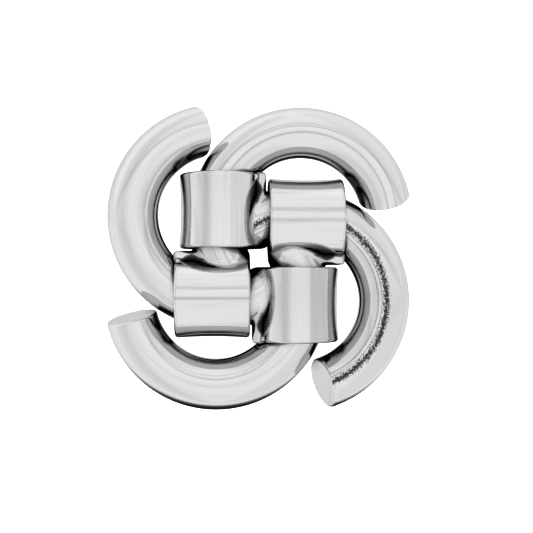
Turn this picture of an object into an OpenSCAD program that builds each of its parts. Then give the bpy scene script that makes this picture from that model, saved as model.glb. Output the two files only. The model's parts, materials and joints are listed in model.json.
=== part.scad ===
// Disentanglement puzzle of four cast metal links, lying flat.
// Each link is a half ring of round bar that ends in a thick barrel at one end and stops
// short at the other. Every barrel is bored to the curve of a ring, and the next link's ring
// runs through it, so the four links close into a pinwheel around a small square gap.
// The first link is modelled where it lies, and the others are it turned by quarter turns.

/* [Ring bar] */
// Diameter of the round bar
bar_d = 8; // [7.6:0.1:8]
// Radius of the half ring, from its centre to the middle of the bar
ring_r = 13.6; // [13.6:0.05:13.8]
// How far the ring's centre lies from the middle of the puzzle, along the barrel's axis
ring_along = 6.62; // [6.55:0.01:6.7]
// How far the ring's centre lies from the middle of the puzzle, across the barrel's axis
ring_across = 6.12; // [6.05:0.01:6.2]

/* [Barrel] */
// Outer diameter of the barrel at its ends
barrel_d = 12.86; // [12.7:0.02:13]
// Distance from the middle of the puzzle to the barrel's axis
barrel_offset = 6.04; // [6:0.01:6.08]
// Distance from the middle of the puzzle to the barrel's inner end
barrel_near = 1.48; // [1.4:0.02:1.6]
// Distance from the middle of the puzzle to the barrel's outer end
barrel_far = 13.1; // [12.9:0.05:13.3]
// How much slimmer the barrel is at its waist than at its ends, in radius
barrel_waist = 0.2; // [0.1:0.05:0.3]
// Bevel on the barrel's two rims
rim_bevel = 0.4; // [0.1:0.05:0.5]

/* [Joint between bar and barrel] */
// Radius of the neck where it leaves the bar
neck_top_r = 4.3; // [4.1:0.1:4.5]
// Radius of the neck where it sinks into the barrel
neck_base_r = 5.2; // [4.8:0.1:5.4]
// Thickness of the flat pad that backs the neck along the barrel
pad_t = 3.6; // [2:0.2:4.4]

/* [Fits] */
// Radial clearance between a bar and the barrel that it runs through
bore_clearance = 0.1; // [0.05:0.01:0.12]
// Gap between a barrel's inner end and the pad of the link beside it
pad_gap = 0.42; // [0.35:0.01:0.5]

/* [Free ends] */
// How far each free end stops short of the half turn, in degrees, link by link
end_short = [13.7, 16.8, 13, 13.6]; // [13:0.1:20]
// How far each cut face leans up (above 0) or down (below 0), in degrees, link by link
end_lean = [-27, 18, 11, -24]; // [-27:1:27]

/* [Hidden] */
$fn = 96;

polished_metal = [0.80, 0.81, 0.82];

bar_r = bar_d / 2;
bore_r = bar_r + bore_clearance;
barrel_r = barrel_d / 2;
barrel_len = barrel_far - barrel_near;
mid_z = barrel_r;
pad_y = barrel_near - pad_gap;

// The circle that hollows the barrel's side from one bevel to the other, down to its waist
waist_half = barrel_len / 2 - rim_bevel;
waist_r = (waist_half * waist_half + barrel_waist * barrel_waist) / (2 * barrel_waist);

// The ring's own centre, and the centre of the neighbour's ring that the barrel is bored for
ring_c = [ring_along, ring_across];
bore_c = [-ring_across, ring_along];

// The bar starts before its cut face and ends inside the barrel's wall
bar_start = -6;
bar_stop = 232;
bore_start = 212;
bore_stop = 308;

// The neck stands on the barrel where the middle of the bar meets it
neck_x = ring_along - sqrt(ring_r * ring_r - ring_across * ring_across);
neck_base_y = -2;

// Larger than anything it has to cut
cut = 30;

// A round bar bent to an arc, from one angle to the other, in the middle plane
module bent_bar(centre, r, from, to) {
    translate([centre[0], centre[1], mid_z])
        rotate([0, 0, from])
            rotate_extrude(angle = to - from)
                translate([ring_r, 0])
                    circle(r = r);
}

// Half the barrel's lengthwise section, with bevelled rims and a hollowed side
module barrel_section() {
    difference() {
        polygon([
            [0, 0],
            [barrel_r - rim_bevel, 0],
            [barrel_r, rim_bevel],
            [barrel_r, barrel_len - rim_bevel],
            [barrel_r - rim_bevel, barrel_len],
            [0, barrel_len]
        ]);
        translate([barrel_r - barrel_waist + waist_r, barrel_len / 2])
            circle(r = waist_r, $fn = 360);
    }
}

// The thick sleeve, lying along X
module barrel() {
    translate([-barrel_far, -barrel_offset, mid_z])
        rotate([0, 90, 0])
            rotate_extrude()
                barrel_section();
}

// The flared root of the bar on the barrel
module neck() {
    translate([neck_x, neck_base_y, mid_z])
        rotate([-90, 0, 0])
            cylinder(h = pad_y - neck_base_y, r1 = neck_base_r, r2 = neck_top_r);
}

// The flat pad beside the neck, which faces the end of the neighbour's barrel
module pad() {
    translate([0, 0, mid_z - pad_t / 2])
        linear_extrude(height = pad_t)
            polygon([
                [neck_x, pad_y],
                [-barrel_far + rim_bevel, pad_y],
                [-barrel_far, pad_y - rim_bevel],
                [-barrel_far, neck_base_y],
                [neck_x, neck_base_y]
            ]);
}

// What the bar and the neck would stand out past the barrel's inner end
module past_inner_end() {
    translate([-barrel_near, -cut / 2, 0])
        cube([barrel_near + ring_along, cut / 2 + ring_across / 3, 2 * mid_z]);
}

// Everything beyond the slanted face of the free end
module beyond_free_end(short, lean) {
    translate([ring_c[0], ring_c[1], mid_z])
        rotate([0, 0, short])
            rotate([-lean, 0, 0])
                translate([0, -cut, -cut / 2])
                    cube([cut, cut, cut]);
}

// One whole link, cast in one piece
module link(short, lean) {
    difference() {
        union() {
            bent_bar(ring_c, bar_r, bar_start, bar_stop);
            neck();
            pad();
            barrel();
        }
        past_inner_end();
        beyond_free_end(short, lean);
        bent_bar(bore_c, bore_r, bore_start, bore_stop);
    }
}

// The link with this index, turned to its place in the pinwheel
module placed_link(i) {
    rotate([0, 0, -90 * i])
        link(end_short[i], end_lean[i]);
}

module link_1() {
    color(polished_metal)
        placed_link(0);
}

module link_2() {
    color(polished_metal)
        placed_link(1);
}

module link_3() {
    color(polished_metal)
        placed_link(2);
}

module link_4() {
    color(polished_metal)
        placed_link(3);
}

link_1();
link_2();
link_3();
link_4();
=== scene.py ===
"""The metal ring disentanglement puzzle: four polished cast links, seen from above on a white table.

Each link is meshed from a distance field in millimetres, in the place where link_1 lies, and the
other three are it turned by quarter turns.
"""

import json
import math

import bpy
import numpy as np
from mathutils import Matrix, Vector


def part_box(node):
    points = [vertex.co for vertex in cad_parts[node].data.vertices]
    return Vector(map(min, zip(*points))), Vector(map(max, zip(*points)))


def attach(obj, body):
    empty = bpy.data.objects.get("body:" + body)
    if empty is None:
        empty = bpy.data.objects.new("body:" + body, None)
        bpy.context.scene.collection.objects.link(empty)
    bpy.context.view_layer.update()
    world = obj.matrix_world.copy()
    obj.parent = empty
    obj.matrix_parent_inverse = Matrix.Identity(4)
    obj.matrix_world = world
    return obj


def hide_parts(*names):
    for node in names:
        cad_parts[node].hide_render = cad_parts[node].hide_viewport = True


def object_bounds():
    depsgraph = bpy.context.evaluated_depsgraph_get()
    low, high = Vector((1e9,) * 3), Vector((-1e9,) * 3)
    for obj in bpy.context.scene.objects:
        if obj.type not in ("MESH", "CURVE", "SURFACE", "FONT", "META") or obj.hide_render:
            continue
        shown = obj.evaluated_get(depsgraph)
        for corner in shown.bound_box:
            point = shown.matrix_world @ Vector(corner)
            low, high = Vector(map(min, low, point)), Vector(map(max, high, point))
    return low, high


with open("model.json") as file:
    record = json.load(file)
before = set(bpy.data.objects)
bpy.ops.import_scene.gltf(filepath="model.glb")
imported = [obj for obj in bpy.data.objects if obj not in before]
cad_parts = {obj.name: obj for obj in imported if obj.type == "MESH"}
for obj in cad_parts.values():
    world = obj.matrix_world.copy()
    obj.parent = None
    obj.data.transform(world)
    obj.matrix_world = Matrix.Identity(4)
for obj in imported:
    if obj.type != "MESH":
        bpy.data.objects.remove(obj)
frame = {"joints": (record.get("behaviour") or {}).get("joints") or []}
CAD_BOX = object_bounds()

MM = 0.001
LINKS = ("link_1", "link_2", "link_3", "link_4")

# The link's driving sizes in millimetres, from the frame where it gives them
LINK_LOW, LINK_HIGH = (np.array(corner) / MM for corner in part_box("link_1"))
RING_C = np.array(frame["joints"][0]["pos_m"]) / MM
MID_Z = RING_C[2]
BAR_R = 4.0
RING_R = LINK_HIGH[1] - RING_C[1] - BAR_R
BARREL_R = MID_Z
BARREL_Y = LINK_LOW[1] + BARREL_R
BARREL_FAR = -LINK_LOW[0]
BARREL_NEAR = 1.48
BARREL_WAIST = 0.2
BORE_C = (-RING_C[1], RING_C[0])
BORE_CLEARANCE = 0.1
BORE_R = BAR_R + BORE_CLEARANCE
# The bore's circle is cut only below this Y, where the barrel lies
BORE_TOP = 3.0

# How far each free end stops short of the half turn, and how its cut face leans, in degrees
END_SHORT = (13.7, 16.8, 13.0, 13.6)
END_LEAN = (-27, 18, 11, -24)
BAR_STOP = 232

# The pad that backs the bar's root
PAD_TOP = 1.06
PAD_HALF_T = 2.2
PAD_FAR = BARREL_FAR + 0.2
PAD_NEAR = 5.5
PAD_BOTTOM = -3.0
# How far above the pad's top the barrel's flat inner end still cuts the bar's root
CUT_ABOVE_PAD = 1.5

# Roundings
RIM_ROUND = 0.5
END_ROUND = 0.3
BORE_ROUND = 0.3
PAD_BLEND = 0.8
# The bar's root flares from the least to the most over this depth below the pad's top
ROOT_LEAST = 0.58
ROOT_MOST = 1.4
ROOT_DEPTH = 1.5

# The mesh: its grid, how often its points are moved onto the surface and evened out, and the field's slope
GRID_STEP = 0.25
GRID_MARGIN = 0.8
FIRST_MOVES = 3
EVEN_ROUNDS = 4
MOVES_PER_ROUND = 2
SLOPE_REACH = 0.01
LEAST_SLOPE = 0.1

# A point this close to the bar's own surface, and above this Y, is on the bar and not on the barrel
ON_BAR_WITHIN = 0.4
ON_BAR_ABOVE = -1.0

# The camera: its lens, and its place and its aim from the middle of the puzzle
SENSOR = 36
LENS = 68.0
CAMERA_HEIGHT = 158
CAMERA_SHIFT = (-5.5, -4.2)
AIM_SHIFT = (1.2, -1.35)
CLIP_START = 10
CLIP_END = 10000

# The metal: its colour straight on and at a grazing angle, and the range of its roughness
METAL = (0.68, 0.682, 0.686)
EDGE_TINT = (0.84, 0.84, 0.85)
ROUGHNESS = (0.05, 0.1)
ROUGHNESS_FADE = (0.3, 0.75)

# Noise over the metal: how fine along it, how fine across it, which part of the noise, and its detail
POLISHING_LINES = (0.07, 11, 0, 4)
TICKS = (7, 4, 3, 4)
GRAIN = (9, 2, 5, 2)
SPECKS = (4, 16, 9, 3)
# How far apart the four links lie in the noise
LINK_STEP = 7.3
# How the lines darken the metal, how high the ticks and the grain stand, and how the streaks' edges break up
LINE_FADE = (0.25, 0.5)
LINE_DEPTH = 0.06
TICK_SHARE = 2
GRAIN_STRENGTH = 0.5
GRAIN_HEIGHT = 0.01
STREAK_SPECKLE = 2.8

# Painted shade: the metal's colour darkened in crevices and between the links, where ambient occlusion finds
# them
CREVICE_SHADE_REACH = 4
CREVICE_SHADE_FADE = (0.2, 0.68)
CREVICE_SHADE_LEVEL = 0.12
CREVICE_SHADE_SAMPLES = 12

# Painted dark reflections: dark streaks along each link that stand for dark bands reflected along the curved
# metal, with speckled edges. For each: which part, where across it, half its width, its soft edge, and how
# dark
DARK_REFLECTION_STREAKS = (
    (
        ("bar", -0.1, 0.06, 0.04, 0.16),
        ("bar", 0.24, 0.03, 0.02, 0.14),
        ("barrel", -0.03, 0.05, 0.03, 0.16),
    ),
    (
        ("bar", -0.04, 0.17, 0.17, 0.85),
        ("bar", -0.22, 0.03, 0.02, 0.3),
        ("bar", -0.36, 0.04, 0.03, 0.25),
        ("barrel", -0.34, 0.15, 0.1, 0.08),
    ),
    (
        ("bar", -0.4, 0.04, 0.03, 0.08),
        ("barrel", 0.05, 0.06, 0.04, 0.08),
        ("barrel", -0.22, 0.04, 0.03, 0.08),
    ),
    (
        ("bar", -0.5, 0.08, 0.06, 0.14),
        ("barrel", 0.34, 0.15, 0.1, 0.08),
        ("barrel", -0.62, 0.38, 0.01, 0.12),
    ),
)

# The light tent: brightness against the angle from straight up, towards +X and towards +Y
TENT_LEVEL = 1.25
TENT_SIDEWAYS = (
    (-180, 1),
    (-90, 1),
    (-55, 0.9),
    (-38, 0.88),
    (-22, 0.97),
    (-10, 1),
    (26, 1),
    (30, 0.93),
    (95, 0.93),
    (130, 1),
)
TENT_LENGTHWAYS = (
    (-180, 1),
    (-14, 1),
    (-6, 0.95),
    (4, 1),
    (18, 1.03),
    (23, 0.86),
    (27, 0.88),
    (32, 1),
    (60, 1.02),
    (80, 1.06),
    (100, 1.04),
    (130, 0.97),
)
# A dark doorway in the tent, low on the -Y side, and slightly darker light from straight below
DOORWAY = (-0.02, -0.68, -0.73)
DOORWAY_FADE = (0.78, 0.98)
DOORWAY_LEVEL = 0.08
UNDER_FADE = (-0.9, -0.5)
UNDER_LEVEL = 0.92
TABLE_FILL = 4.0

# The table, and a black card on it that only reflections see: a painted shadow that stands for the shaded
# table under the puzzle
DISC_CORNERS = 96
FLOOR_RADIUS = 3000
FLOOR_Z = -0.2
FLOOR_WHITE = 0.9
SHADOW_CARD_RADIUS = 13.5
SHADOW_CARD_Z = -0.1
SHADOW_CARD_BLACK = 0.01

# The picture's contrast
GAMMA = 0.58


# ---------------------------------------------------------------- distance fields


def either(a, b, r):
    """Two solids joined with a fillet of radius r."""
    return np.maximum(r, np.minimum(a, b)) - np.hypot(np.maximum(r - a, 0), np.maximum(r - b, 0))


def both(a, b, r):
    """What two solids share, with its edges rounded to radius r."""
    return np.minimum(-r, np.maximum(a, b)) + np.hypot(np.maximum(r + a, 0), np.maximum(r + b, 0))


def ring(p, centre, r):
    """A round bar bent to a full circle."""
    return np.hypot(np.hypot(p[0] - centre[0], p[1] - centre[1]) - RING_R, p[2]) - r


def bar(p, short, lean):
    """The link's half ring, from its slanted cut face to inside the barrel."""
    x = p[0] - RING_C[0]
    y = p[1] - RING_C[1]
    start, slant, stop = (math.radians(a) for a in (short, lean, BAR_STOP))
    forward = math.cos(start) * y - math.sin(start) * x
    past_face = math.sin(slant) * p[2] - math.cos(slant) * forward
    past_stop = math.cos(stop) * y - math.sin(stop) * x
    return both(ring(p, RING_C, BAR_R), np.minimum(past_face, past_stop), END_ROUND)


def barrel(p):
    """The thick sleeve, slightly slimmer at its waist and not yet cut at its inner end."""
    half = (BARREL_FAR - BARREL_NEAR) / 2
    along = p[0] + (BARREL_FAR + BARREL_NEAR) / 2
    waist = BARREL_WAIST * (1 - np.minimum((along / (half - RIM_ROUND)) ** 2, 1))
    side = np.hypot(p[1] - BARREL_Y, p[2]) - BARREL_R + waist
    return both(side, -along - half, RIM_ROUND)


def pad(p):
    """The flat pad beside the bar's root."""
    x = np.abs(p[0] + (PAD_FAR + PAD_NEAR) / 2) - (PAD_FAR - PAD_NEAR) / 2
    y = np.abs(p[1] - (PAD_TOP + PAD_BOTTOM) / 2) - (PAD_TOP - PAD_BOTTOM) / 2
    return both(both(x, y, RIM_ROUND), np.abs(p[2]) - PAD_HALF_T, RIM_ROUND)


def root_rounding(p):
    """How far the bar's root flares: least over the top, and where the neighbour's barrel is close."""
    side = 1 - np.minimum(np.abs(p[2]) / BAR_R, 1) ** 2
    below = np.clip((PAD_TOP - p[1]) / ROOT_DEPTH, 0, 1)
    return ROOT_LEAST + (ROOT_MOST - ROOT_LEAST) * side * below


def link(p, short, lean):
    """One whole casting, bored to the curve of the next link's ring."""
    sleeve = either(barrel(p), pad(p), PAD_BLEND)
    solid = either(bar(p, short, lean), sleeve, root_rounding(p))
    past_inner_end = np.minimum(p[0] + BARREL_NEAR, PAD_TOP + CUT_ABOVE_PAD - p[1])
    solid = both(solid, past_inner_end, RIM_ROUND)
    bore = np.maximum(ring(p, BORE_C, BORE_R), p[1] - BORE_TOP)
    return both(solid, -bore, BORE_ROUND)


# ---------------------------------------------------------------- meshing


def quads_across(inside, numbers, axis):
    """A quad for every grid edge along the axis that passes through the surface, facing out."""
    inside = np.moveaxis(inside, axis, 0)
    numbers = np.moveaxis(numbers, axis, 0)
    here = inside[:-1, 1:-1, 1:-1]
    i, j, k = np.nonzero(here != inside[1:, 1:-1, 1:-1])
    corners = [numbers[i, j, k], numbers[i, j + 1, k], numbers[i, j + 1, k + 1], numbers[i, j, k + 1]]
    quads = np.stack(corners, 1)
    backward = here[i, j, k] == (axis == 1)
    quads[backward] = quads[backward][:, ::-1]
    return quads


def surface_net(field, low, high, step):
    """Vertices and quads around the solid, with one vertex in each grid cell that its surface crosses."""
    axes = [np.arange(a, b + step, step) for a, b in zip(low, high)]
    inside = field(np.meshgrid(*axes, indexing="ij")) < 0
    size = np.array(inside.shape) - 1
    filled = np.zeros(size, int)
    for i in (0, 1):
        for j in (0, 1):
            for k in (0, 1):
                filled += inside[i : i + size[0], j : j + size[1], k : k + size[2]]
    crossed = (filled > 0) & (filled < 8)
    numbers = np.full(size, -1)
    numbers[crossed] = np.arange(crossed.sum())
    points = low + (np.argwhere(crossed) + 0.5) * step
    return points, np.concatenate([quads_across(inside, numbers, axis) for axis in range(3)])


def slope(field, points):
    """The field's gradient at each point."""
    columns = []
    for step in np.eye(3) * SLOPE_REACH:
        columns.append(field((points + step).T) - field((points - step).T))
    return np.stack(columns, 1) / (2 * SLOPE_REACH)


def onto_surface(field, points, rounds):
    """The points moved along the gradient until the field is zero."""
    for _ in range(rounds):
        gradient = slope(field, points)
        share = field(points.T) / np.maximum((gradient**2).sum(1), LEAST_SLOPE)
        points = points - gradient * share[:, None]
    return points


def evened(field, points, quads, rounds):
    """The points spread evenly over the surface, by moving each to the middle of its neighbours."""
    here = quads.ravel()
    there = np.roll(quads, -1, axis=1).ravel()
    neighbours = np.bincount(here, minlength=len(points))
    for _ in range(rounds):
        total = [np.bincount(here, points[there, axis], len(points)) for axis in range(3)]
        points = onto_surface(field, np.stack(total, 1) / neighbours[:, None], MOVES_PER_ROUND)
    return points


def surface_places(points):
    """What the material needs at each point: how far along, how far across, and 1 on the bar.

    Along is in millimetres, and across runs from -1 to 1 over the bar's or the barrel's width.
    """
    x = points[:, 0] - RING_C[0]
    y = points[:, 1] - RING_C[1]
    turn = np.mod(np.arctan2(y, x) + math.pi / 2, 2 * math.pi)
    bar_across = (np.hypot(x, y) - RING_R) / BAR_R
    barrel_across = (points[:, 1] - BARREL_Y) / BARREL_R
    on_bar = np.abs(ring(points.T, RING_C, BAR_R)) < ON_BAR_WITHIN
    on_bar &= points[:, 1] > ON_BAR_ABOVE
    along = np.where(on_bar, RING_R * turn, points[:, 0])
    across = np.where(on_bar, bar_across, barrel_across)
    return np.stack([along, across, on_bar.astype(float)], 1)


def quarter_turned(vectors, turns):
    """The vectors turned clockwise about Z by that many quarter turns."""
    for _ in range(turns):
        vectors = np.stack([vectors[:, 1], -vectors[:, 0], vectors[:, 2]], 1)
    return vectors


def make_link(index):
    """The visible piece of one link, in its place in the pinwheel."""

    def field(p):
        return link(p, END_SHORT[index], END_LEAN[index])

    low = np.array([-PAD_FAR, LINK_LOW[1], -BARREL_R]) - GRID_MARGIN
    high = np.array([RING_C[0] + RING_R + BAR_R, LINK_HIGH[1], BARREL_R]) + GRID_MARGIN
    points, quads = surface_net(field, low, high, GRID_STEP)
    points = onto_surface(field, points, FIRST_MOVES)
    points = evened(field, points, quads, EVEN_ROUNDS)
    normals = slope(field, points)
    normals /= np.linalg.norm(normals, axis=1)[:, None]
    places = surface_places(points)

    mesh = bpy.data.meshes.new(f"{LINKS[index]}_casting")
    placed = (quarter_turned(points, index) + [0, 0, MID_Z]) * MM
    mesh.from_pydata(placed.tolist(), [], quads.tolist())
    mesh.shade_smooth()
    mesh.normals_split_custom_set_from_vertices(quarter_turned(normals, index).tolist())
    attribute = mesh.attributes.new("surface_place", "FLOAT_VECTOR", "POINT")
    attribute.data.foreach_set("vector", places.ravel())
    piece = bpy.data.objects.new(mesh.name, mesh)
    bpy.context.scene.collection.objects.link(piece)
    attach(piece, LINKS[index])
    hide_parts(LINKS[index])
    return piece


# ---------------------------------------------------------------- material


class Nodes:
    """Short calls for adding nodes to a material or a world."""

    def __init__(self, tree):
        self.tree = tree

    def add(self, kind, settings=None, **inputs):
        """A node with its settings, and its inputs set or linked by name."""
        node = self.tree.nodes.new(kind)
        for name, value in (settings or {}).items():
            setattr(node, name, value)
        for name, value in inputs.items():
            self.feed(node, name.replace("_", " "), value)
        return node

    def feed(self, node, socket, value):
        """Sets or links one input."""
        if isinstance(value, bpy.types.NodeSocket):
            self.tree.links.new(value, node.inputs[socket])
        else:
            node.inputs[socket].default_value = value

    def math(self, operation, *values):
        """A math node's result."""
        node = self.tree.nodes.new("ShaderNodeMath")
        node.operation = operation
        for place, value in enumerate(values):
            self.feed(node, place, value)
        return node.outputs[0]

    def ramp(self, value, low, high, at_low, at_high):
        """The value eased from one range to another, held at both ends."""
        settings = {"interpolation_type": "SMOOTHSTEP"}
        ends = {"From_Min": low, "From_Max": high, "To_Min": at_low, "To_Max": at_high}
        return self.add("ShaderNodeMapRange", settings, Value=value, **ends).outputs["Result"]

    def noise(self, vector, detail):
        """Noise from 0 to 1 at the vector."""
        node = self.add("ShaderNodeTexNoise", None, Vector=vector, Scale=1, Detail=detail)
        return node.outputs["Fac"]

    def vector(self, x, y, z):
        """A vector of three values."""
        return self.add("ShaderNodeCombineXYZ", None, X=x, Y=y, Z=z).outputs[0]


def noise_over(nodes, along, across, index, shape):
    """Noise over one link's metal, stretched along it or across it."""
    fine_along, fine_across, part, detail = shape
    x = nodes.math("MULTIPLY", along, fine_along)
    y = nodes.math("MULTIPLY", across, fine_across)
    return nodes.noise(nodes.vector(x, y, LINK_STEP * index + part), detail)


def dark_reflection_streak(nodes, across, speckle, middle, half, soft, depth):
    """1 beside a painted dark reflection, a streak that runs along the metal, and less inside it, with
    speckled edges.
    """
    off = nodes.math("ABSOLUTE", nodes.math("SUBTRACT", across, middle))
    broken = nodes.math("ADD", off, nodes.math("MULTIPLY", speckle, soft))
    return nodes.ramp(broken, half - soft, half, 1 - depth, 1)


def shading(nodes, along, across, on_bar, index):
    """How much of its colour the metal keeps, after polishing lines, the painted dark reflections along it
    and the painted shade in its crevices.
    """
    lines = noise_over(nodes, along, across, index, POLISHING_LINES)
    specks = noise_over(nodes, along, across, index, SPECKS)
    speckle = nodes.math("MULTIPLY", nodes.math("SUBTRACT", specks, 0.5), STREAK_SPECKLE)
    on_barrel = nodes.math("SUBTRACT", 1, on_bar)
    shade = nodes.ramp(lines, *LINE_FADE, 1 - LINE_DEPTH, 1)
    # Painted dark reflections: each streak darkens the colour along the bar or the barrel
    for part, *shape in DARK_REFLECTION_STREAKS[index]:
        lost = nodes.math("SUBTRACT", 1, dark_reflection_streak(nodes, across, speckle, *shape))
        lost = nodes.math("MULTIPLY", lost, on_bar if part == "bar" else on_barrel)
        shade = nodes.math("MULTIPLY", shade, nodes.math("SUBTRACT", 1, lost))
    # Painted shade: ambient occlusion darkens the colour in crevices and between the links
    settings = {"samples": CREVICE_SHADE_SAMPLES}
    open_air = nodes.add("ShaderNodeAmbientOcclusion", settings, Distance=CREVICE_SHADE_REACH * MM).outputs["AO"]
    return nodes.math("MULTIPLY", shade, nodes.ramp(open_air, *CREVICE_SHADE_FADE, CREVICE_SHADE_LEVEL, 1))


def polished_metal(index):
    """Bright polished plating, with painted dark reflections as streaks along each bar and barrel, and
    painted shade in its crevices.
    """
    material = bpy.data.materials.new(f"polished_metal_{index + 1}")
    material.use_nodes = True
    nodes = Nodes(material.node_tree)
    place = nodes.add("ShaderNodeAttribute", {"attribute_name": "surface_place"}).outputs["Vector"]
    split = nodes.add("ShaderNodeSeparateXYZ", None, Vector=place)
    along, across, on_bar = (split.outputs[name] for name in "XYZ")

    shade = shading(nodes, along, across, on_bar, index)
    tint = nodes.add("ShaderNodeVectorMath", {"operation": "SCALE"}, Scale=shade)
    tint.inputs[0].default_value = METAL

    ticks = noise_over(nodes, along, across, index, TICKS)
    grain = noise_over(nodes, along, across, index, GRAIN)
    height = nodes.math("ADD", grain, nodes.math("MULTIPLY", ticks, TICK_SHARE))
    size = {"Strength": GRAIN_STRENGTH, "Distance": GRAIN_HEIGHT * MM}
    bump = nodes.add("ShaderNodeBump", None, Height=height, **size)

    shader = material.node_tree.nodes["Principled BSDF"]
    shader.inputs["Metallic"].default_value = 1
    shader.inputs["Specular Tint"].default_value = (*EDGE_TINT, 1)
    nodes.feed(shader, "Base Color", tint.outputs[0])
    nodes.feed(shader, "Roughness", nodes.ramp(ticks, *ROUGHNESS_FADE, *ROUGHNESS))
    nodes.feed(shader, "Normal", bump.outputs[0])
    return material


# ---------------------------------------------------------------- stage


def make_camera():
    """The camera, looking down from just left of and below the middle."""
    centre = (CAD_BOX[0] + CAD_BOX[1]) / 2
    data = bpy.data.cameras.new("camera")
    data.sensor_width = SENSOR
    data.lens = LENS
    camera = bpy.data.objects.new("camera", data)
    bpy.context.scene.collection.objects.link(camera)
    camera.location = centre + Vector((*CAMERA_SHIFT, CAMERA_HEIGHT)) * MM
    target = centre + Vector((*AIM_SHIFT, 0)) * MM
    back = (camera.location - target).normalized()
    right = Vector((0, 1, 0)).cross(back).normalized()
    camera.rotation_mode = "QUATERNION"
    camera.rotation_quaternion = Matrix((right, back.cross(right), back)).transposed().to_quaternion()
    data.clip_start = CLIP_START * MM
    data.clip_end = CLIP_END * MM
    bpy.context.scene.camera = camera


def disc(name, radius, z, material):
    """A flat round stage piece at that height, in millimetres."""
    angles = [2 * math.pi * i / DISC_CORNERS for i in range(DISC_CORNERS)]
    rim = [Vector((radius * math.cos(a), radius * math.sin(a), z)) * MM for a in angles]
    mesh = bpy.data.meshes.new(name)
    mesh.from_pydata(rim, [], [range(DISC_CORNERS)])
    mesh.materials.append(material)
    thing = bpy.data.objects.new(name, mesh)
    bpy.context.scene.collection.objects.link(thing)
    return thing


def matt(name, grey):
    """A matt grey material."""
    material = bpy.data.materials.new(name)
    material.use_nodes = True
    shader = material.node_tree.nodes["Principled BSDF"]
    shader.inputs["Base Color"].default_value = (grey, grey, grey, 1)
    shader.inputs["Roughness"].default_value = 1
    shader.inputs["Specular IOR Level"].default_value = 0
    return material


def make_floor():
    """A white table, and a black card that only reflections see, a painted shadow standing for the shaded
    table under the puzzle.
    """
    floor = disc("floor", FLOOR_RADIUS, FLOOR_Z, matt("table_white", FLOOR_WHITE))
    floor.visible_glossy = False
    # Painted shadow: a black disc under the puzzle in place of the table's shade there, seen only in
    # reflections
    card = disc("painted_shadow_card", SHADOW_CARD_RADIUS, SHADOW_CARD_Z, matt("painted_shadow_black", SHADOW_CARD_BLACK))
    card.visible_camera = False
    card.visible_diffuse = False
    card.visible_shadow = False


def tent_strips(nodes, angle, stops):
    """How bright the tent is at that angle from straight up, from (degrees, brightness) stops."""
    place = nodes.math("ADD", nodes.math("DIVIDE", angle, 2 * math.pi), 0.5)
    ramp = nodes.add("ShaderNodeValToRGB", None, Fac=place)
    ramp.color_ramp.interpolation = "EASE"
    elements = ramp.color_ramp.elements
    while len(elements) < len(stops):
        elements.new(0.5)
    for element, (degrees, level) in zip(elements, stops):
        element.position = degrees / 360 + 0.5
        element.color = (level, level, level, 1)
    return ramp.outputs["Color"]


def make_tent():
    """A soft light tent all round."""
    world = bpy.data.worlds.new("studio")
    bpy.context.scene.world = world
    world.use_nodes = True
    nodes = Nodes(world.node_tree)
    direction = nodes.add("ShaderNodeTexCoord").outputs["Generated"]
    split = nodes.add("ShaderNodeSeparateXYZ", None, Vector=direction)
    x, y, z = (split.outputs[name] for name in "XYZ")
    sideways = tent_strips(nodes, nodes.math("ARCTAN2", x, z), TENT_SIDEWAYS)
    lengthways = tent_strips(nodes, nodes.math("ARCTAN2", y, z), TENT_LENGTHWAYS)
    towards = nodes.add("ShaderNodeVectorMath", {"operation": "DOT_PRODUCT"})
    nodes.feed(towards, 0, direction)
    nodes.feed(towards, 1, DOORWAY)
    doorway = nodes.ramp(towards.outputs["Value"], *DOORWAY_FADE, 1, DOORWAY_LEVEL)
    below = nodes.ramp(z, *UNDER_FADE, UNDER_LEVEL, 1)
    strips = nodes.math("MULTIPLY", sideways, lengthways)
    patches = nodes.math("MULTIPLY", doorway, below)
    background = world.node_tree.nodes["Background"]
    nodes.feed(background, "Color", nodes.math("MULTIPLY", strips, patches))
    background.inputs["Strength"].default_value = TENT_LEVEL


def make_table_fill():
    """A light without shadows that keeps the table white, and that reflections don't see."""
    lamp = bpy.data.lights.new("table_fill", "SUN")
    lamp.energy = TABLE_FILL
    lamp.use_shadow = False
    fill = bpy.data.objects.new("table_fill", lamp)
    bpy.context.scene.collection.objects.link(fill)
    fill.visible_glossy = False


def set_contrast():
    """The plain view of the colours, with the picture's contrast raised."""
    settings = bpy.context.scene.view_settings
    settings.view_transform = "Standard"
    settings.gamma = GAMMA


make_camera()
make_floor()
make_tent()
make_table_fill()
set_contrast()
for number in range(len(LINKS)):
    piece = make_link(number)
    piece.data.materials.append(polished_metal(number))
